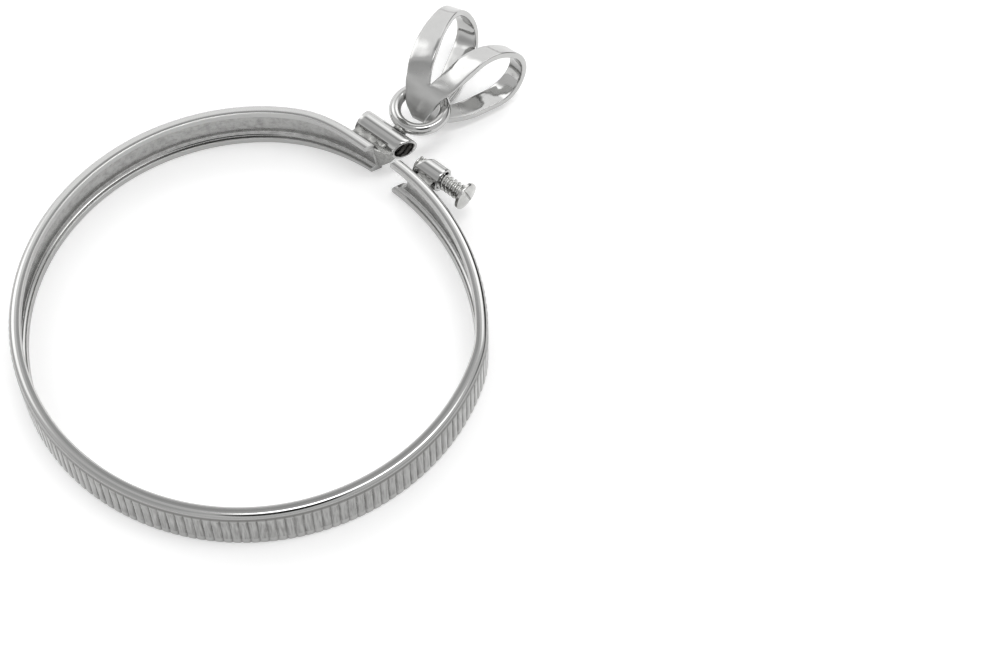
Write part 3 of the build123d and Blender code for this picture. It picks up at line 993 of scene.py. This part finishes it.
def ear_line(shares):
    """The rounded, closed centreline of an ear, along and across, from the middle of its fold."""
    corners = [Vector((along, across)) * ear_length for along, across in shares]
    line = []
    for index, corner in enumerate(corners):
        one, other = corners[index - 1], corners[(index + 1) % len(corners)]
        half = (one - corner).angle(other - corner) / 2
        share = front_bend_share if index == 1 else bend_share
        radius = share * min((one - corner).length, (other - corner).length) * math.tan(half)
        line += rounding(corner, one, other, radius if index else min(radius, tip_rounding), bend_steps)
    return line[bend_steps // 2:] + line[:bend_steps // 2]


def evenly(line, count):
    """Points at even steps along a closed line, and the line's length."""
    closed = line + line[:1]
    lengths = [0.0]
    for one, two in zip(closed, closed[1:]):
        lengths.append(lengths[-1] + (two - one).length)
    points, part = [], 0
    for index in range(count):
        along = lengths[-1] * index / count
        while lengths[part + 1] < along:
            part += 1
        share = (along - lengths[part]) / (lengths[part + 1] - lengths[part])
        points.append(closed[part].lerp(closed[part + 1], share))
    return points, lengths[-1]


def ear_frames(shares, angles, side, tip_spread, tip_pinch):
    """Where each station of an ear lies: centre, run, sideways to its outer edge, and half width."""
    turn, climb, lean, skew = (math.radians(angle) for angle in angles)
    place = (Matrix.Translation(bail_tip) @ Matrix.Rotation(turn, 4, "Z") @ Matrix.Rotation(-climb, 4, "Y")
             @ Matrix.Rotation(-lean, 4, "X"))
    line, length = evenly(ear_line(shares), ear_stations)
    own = place.to_3x3() @ Vector((math.sin(skew), math.cos(skew), 0)) * side
    middle = leftwards * side
    frames = []
    for index, point in enumerate(line):
        ahead, back = line[(index + 1) % ear_stations], line[index - 1]
        run = (place.to_3x3() @ Vector((ahead[0] - back[0], 0, ahead[1] - back[1]))).normalized()
        from_tip = length * min(index, ear_stations - index) / ear_stations
        sideways = middle.lerp(own, eased_share(min(from_tip / fold_reach, 1.0))).normalized()
        width = strip_tip_width
        for (x0, w0), (x1, w1) in zip(strip_widths, strip_widths[1:]):
            if x0 <= point[0] <= x1:
                width = between(w0, w1, (point[0] - x0) / (x1 - x0))
        waist = 1 + (tip_spread - 1) * max(0.0, 1 - from_tip / tip_spread_reach) ** 1.2
        waist -= tip_pinch * max(0.0, 1 - from_tip / tip_pinch_reach) ** 2
        frames.append((place @ Vector((point[0], 0, point[1])), run, sideways, width / 2 * waist))
    return frames


def slat(up, outer, inner, thinned):
    """A section from its outer to its inner edge: the outside with both its corners, then the inside."""
    flat = (outer - inner).normalized()
    across = (outer - inner).length
    edge, thick = strip_edge, strip_thickness / 2
    row = [(edge - edge * math.cos(a), thick - edge + edge * math.sin(a)) for a in corner_angles]
    row += [(edge + (across - 2 * edge) * step / flat_steps, thick) for step in range(1, flat_steps)]
    row += [(across - edge + edge * math.sin(a), thick - edge + edge * math.cos(a)) for a in corner_angles]
    profile = row + [(x, thinned - z) for x, z in row[::-1]]
    return [outer - flat * x + up * z for x, z in profile]


leftwards = Vector((-math.sin(fold_turn), math.cos(fold_turn), 0))
ears = (ear_frames(left_ear_shares, left_ear_angles, 1, left_tip_spread, left_tip_pinch),
        ear_frames(right_ear_shares, right_ear_angles, -1, right_tip_spread, right_tip_pinch))
# Below the crotch the two strips are one flat sheet, straight from outer edge to outer edge. Above
# it, each inner edge eases over to its own line
inner_edges, outer_edges, apart = [], [], []
for stations in zip(*ears):
    inner_edges.append([centre - sideways * half for centre, _, sideways, half in stations])
    outer_edges.append([centre + sideways * half for centre, _, sideways, half in stations])
    left_inner, right_inner = inner_edges[-1]
    apart.append((right_inner - left_inner).dot(leftwards) <= 0)
front_crotch = apart.index(True) - 1
back_crotch = ear_stations - apart[::-1].index(True)


def meeting(index):
    """Where the two strips meet at a station, on the straight line between their outer edges."""
    left_outer, right_outer = outer_edges[index % ear_stations]
    chord = right_outer - left_outer
    middle = (inner_edges[index % ear_stations][0] + inner_edges[index % ear_stations][1]) / 2
    return left_outer + chord * ((middle - left_outer).dot(chord) / chord.length_squared)


def sheet_normal(index):
    """The outward normal of the flat sheet at a station."""
    left_outer, right_outer = outer_edges[index % ear_stations]
    run = ears[0][index % ear_stations][1] + ears[1][index % ear_stations][1]
    return run.cross(left_outer - right_outer).normalized()


def in_sheet(index):
    """Whether a station is part of the flat sheet, where the strips have no inner edge."""
    return index <= front_crotch or index >= back_crotch


points, faces = [], []
row_size = 2 * side_points
inner_corner = range(side_points - len(corner_angles), side_points)
inner_heel = range(side_points, side_points + len(corner_angles))
for which, (frames, side) in enumerate(zip(ears, (1, -1))):
    base = len(points)
    for index, (_, run, _, _) in enumerate(frames):
        on_front = index <= (front_crotch + back_crotch) / 2
        nearest = min(index, front_crotch) if on_front else max(index, back_crotch)
        fade = eased_share(max(0.0, 1 - abs(index - nearest) / fade_stations))
        shift = meeting(nearest) - inner_edges[nearest % ear_stations][which]
        inner = meeting(index) if in_sheet(index) else inner_edges[index][which] + shift * fade
        outer = outer_edges[index][which]
        own = run.cross((outer - inner) * side).normalized()
        up = sheet_normal(index) if in_sheet(index) else own.lerp(sheet_normal(nearest), fade).normalized()
        from_tip = min(index, ear_stations - index)
        thinned = tip_thinning * (1 - eased_share(min(1.0, from_tip / thinned_stations)))
        section = slat(up, outer, inner, thinned)
        if in_sheet(index):
            for place in inner_corner:
                section[place] = inner + up * strip_thickness / 2
            for place in inner_heel:
                section[place] = inner - up * (strip_thickness / 2 - thinned)
        points += section
    for index in range(ear_stations):
        following = (index + 1) % ear_stations
        for place in range(row_size):
            at_inner_edge = inner_corner[0] <= place < inner_heel[-1]
            if at_inner_edge and in_sheet(index) and in_sheet(following):
                continue
            after = (place + 1) % row_size
            faces.append((base + index * row_size + place, base + index * row_size + after,
                          base + following * row_size + after, base + following * row_size + place))
bail = mesh_object("bail_ears", points, faces)
settle(bail, 40.0, 0.0005 * mm)
# Polished sheet silver, a little wavy where it was bent by hand, and sanded dull round its tip
wave_length = 2.2 * mm
wave_height = 0.12 * mm
sanded_reach = 3.4 * mm
sanded_fade = 2.6 * mm
sanded_roughness = 0.26
bail_silver = silver("polished sheet silver")
tree = bail_silver.node_tree
shader = tree.nodes["Principled BSDF"]
plain_gloss, plain_bump = [shader.inputs[name].links[0].from_socket for name in ("Roughness", "Normal")]
place = add(tree, "TexCoord")["Object"]
off_tip = add(tree, "VectorMath DISTANCE", place, bail_tip)["Value"]
sanded = add(tree, "MapRange", off_tip, sanded_reach, sanded_reach + sanded_fade, sanded_roughness, 0.0,
             settings=eased)[0]
gloss = add(tree, "ADD", plain_gloss, sanded)[0]
waves = add(tree, "TexNoise", Vector=place, Scale=1 / wave_length, Detail=1.0)["Fac"]
wavy = add(tree, "Bump", Height=waves, Distance=wave_height, Strength=1.0, Normal=plain_bump)[0]
fill(tree, shader, Roughness=gloss, Normal=wavy)
bail.data.materials.append(bail_silver)
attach(bail, "root")
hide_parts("bail")

low, high = cad_box
